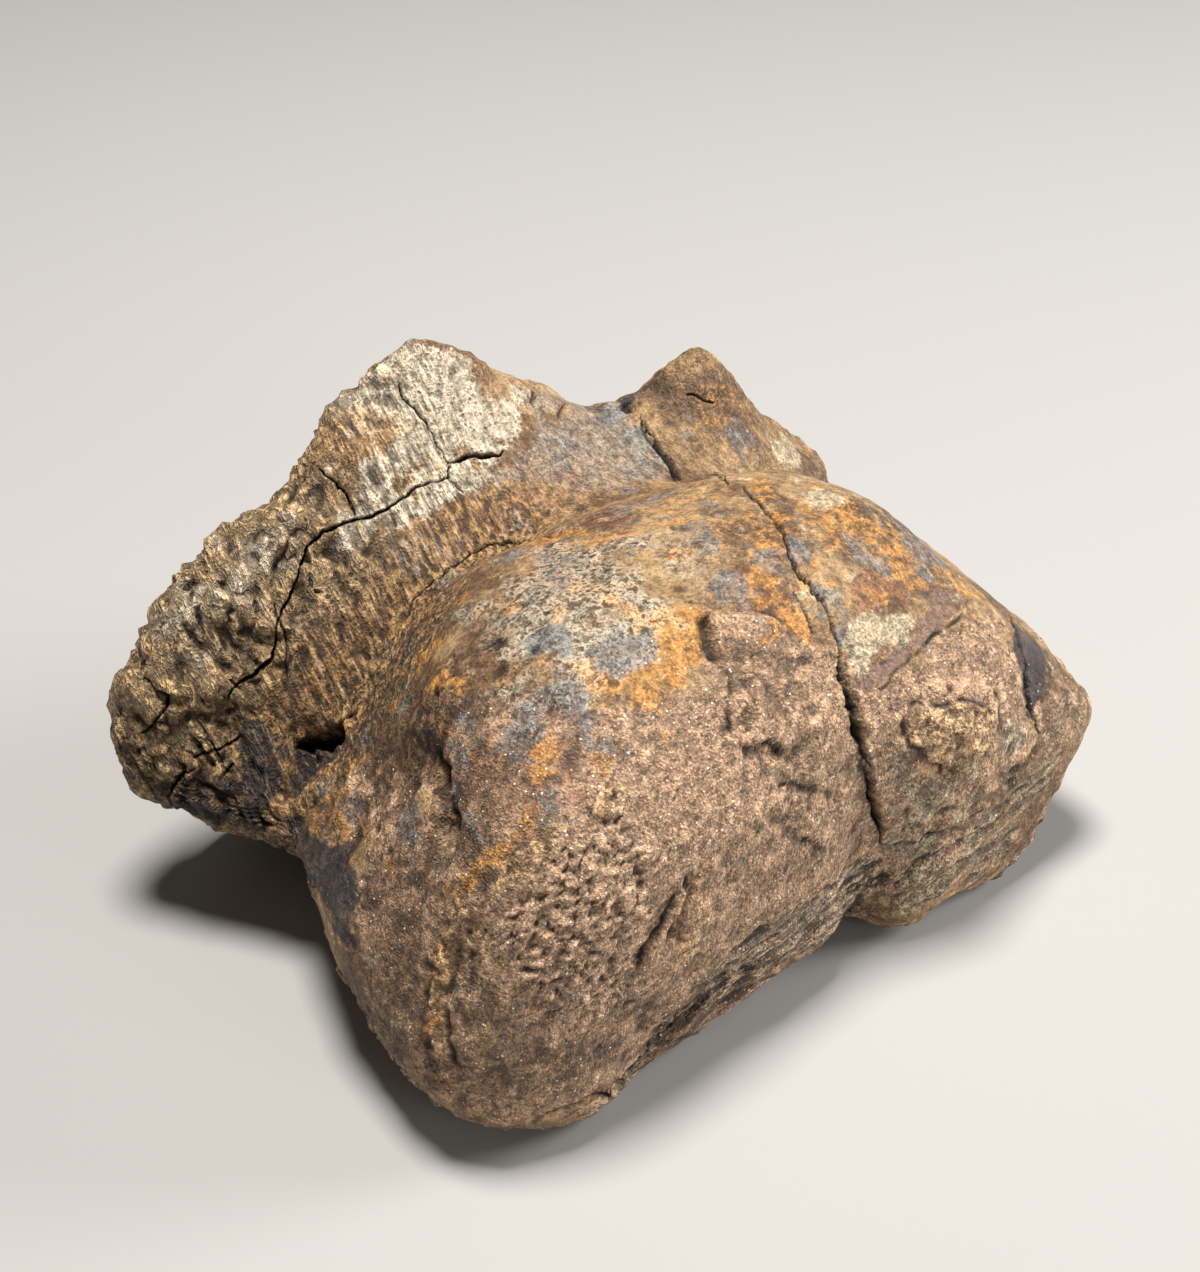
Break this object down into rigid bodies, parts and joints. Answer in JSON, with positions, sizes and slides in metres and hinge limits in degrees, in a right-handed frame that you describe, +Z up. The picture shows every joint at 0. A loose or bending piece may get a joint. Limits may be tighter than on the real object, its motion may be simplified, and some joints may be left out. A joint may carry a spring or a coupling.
{
  "type": "fossil dinosaur toe bone",
  "caption": "Stout fossil toe bone of a large dinosaur, with a rolling joint end and a flared rim, lying on its underside.",
  "frame": {"origin": "middle of the bone's outline, at the level of the surface that it lies on", "axes": "+X from side to side, from the flared knob towards the pointed corner, +Y towards the joint face that sat against the foot, +Z up"},
  "size_m": [0.107, 0.0718, 0.06],
  "materials": {
    "fossil_bone": "dull, rough brown fossil bone with a sandy crust"
  },
  "bodies": {
    "root": {"toe_bone": "fossil_bone"}
  },
  "joints": []
}
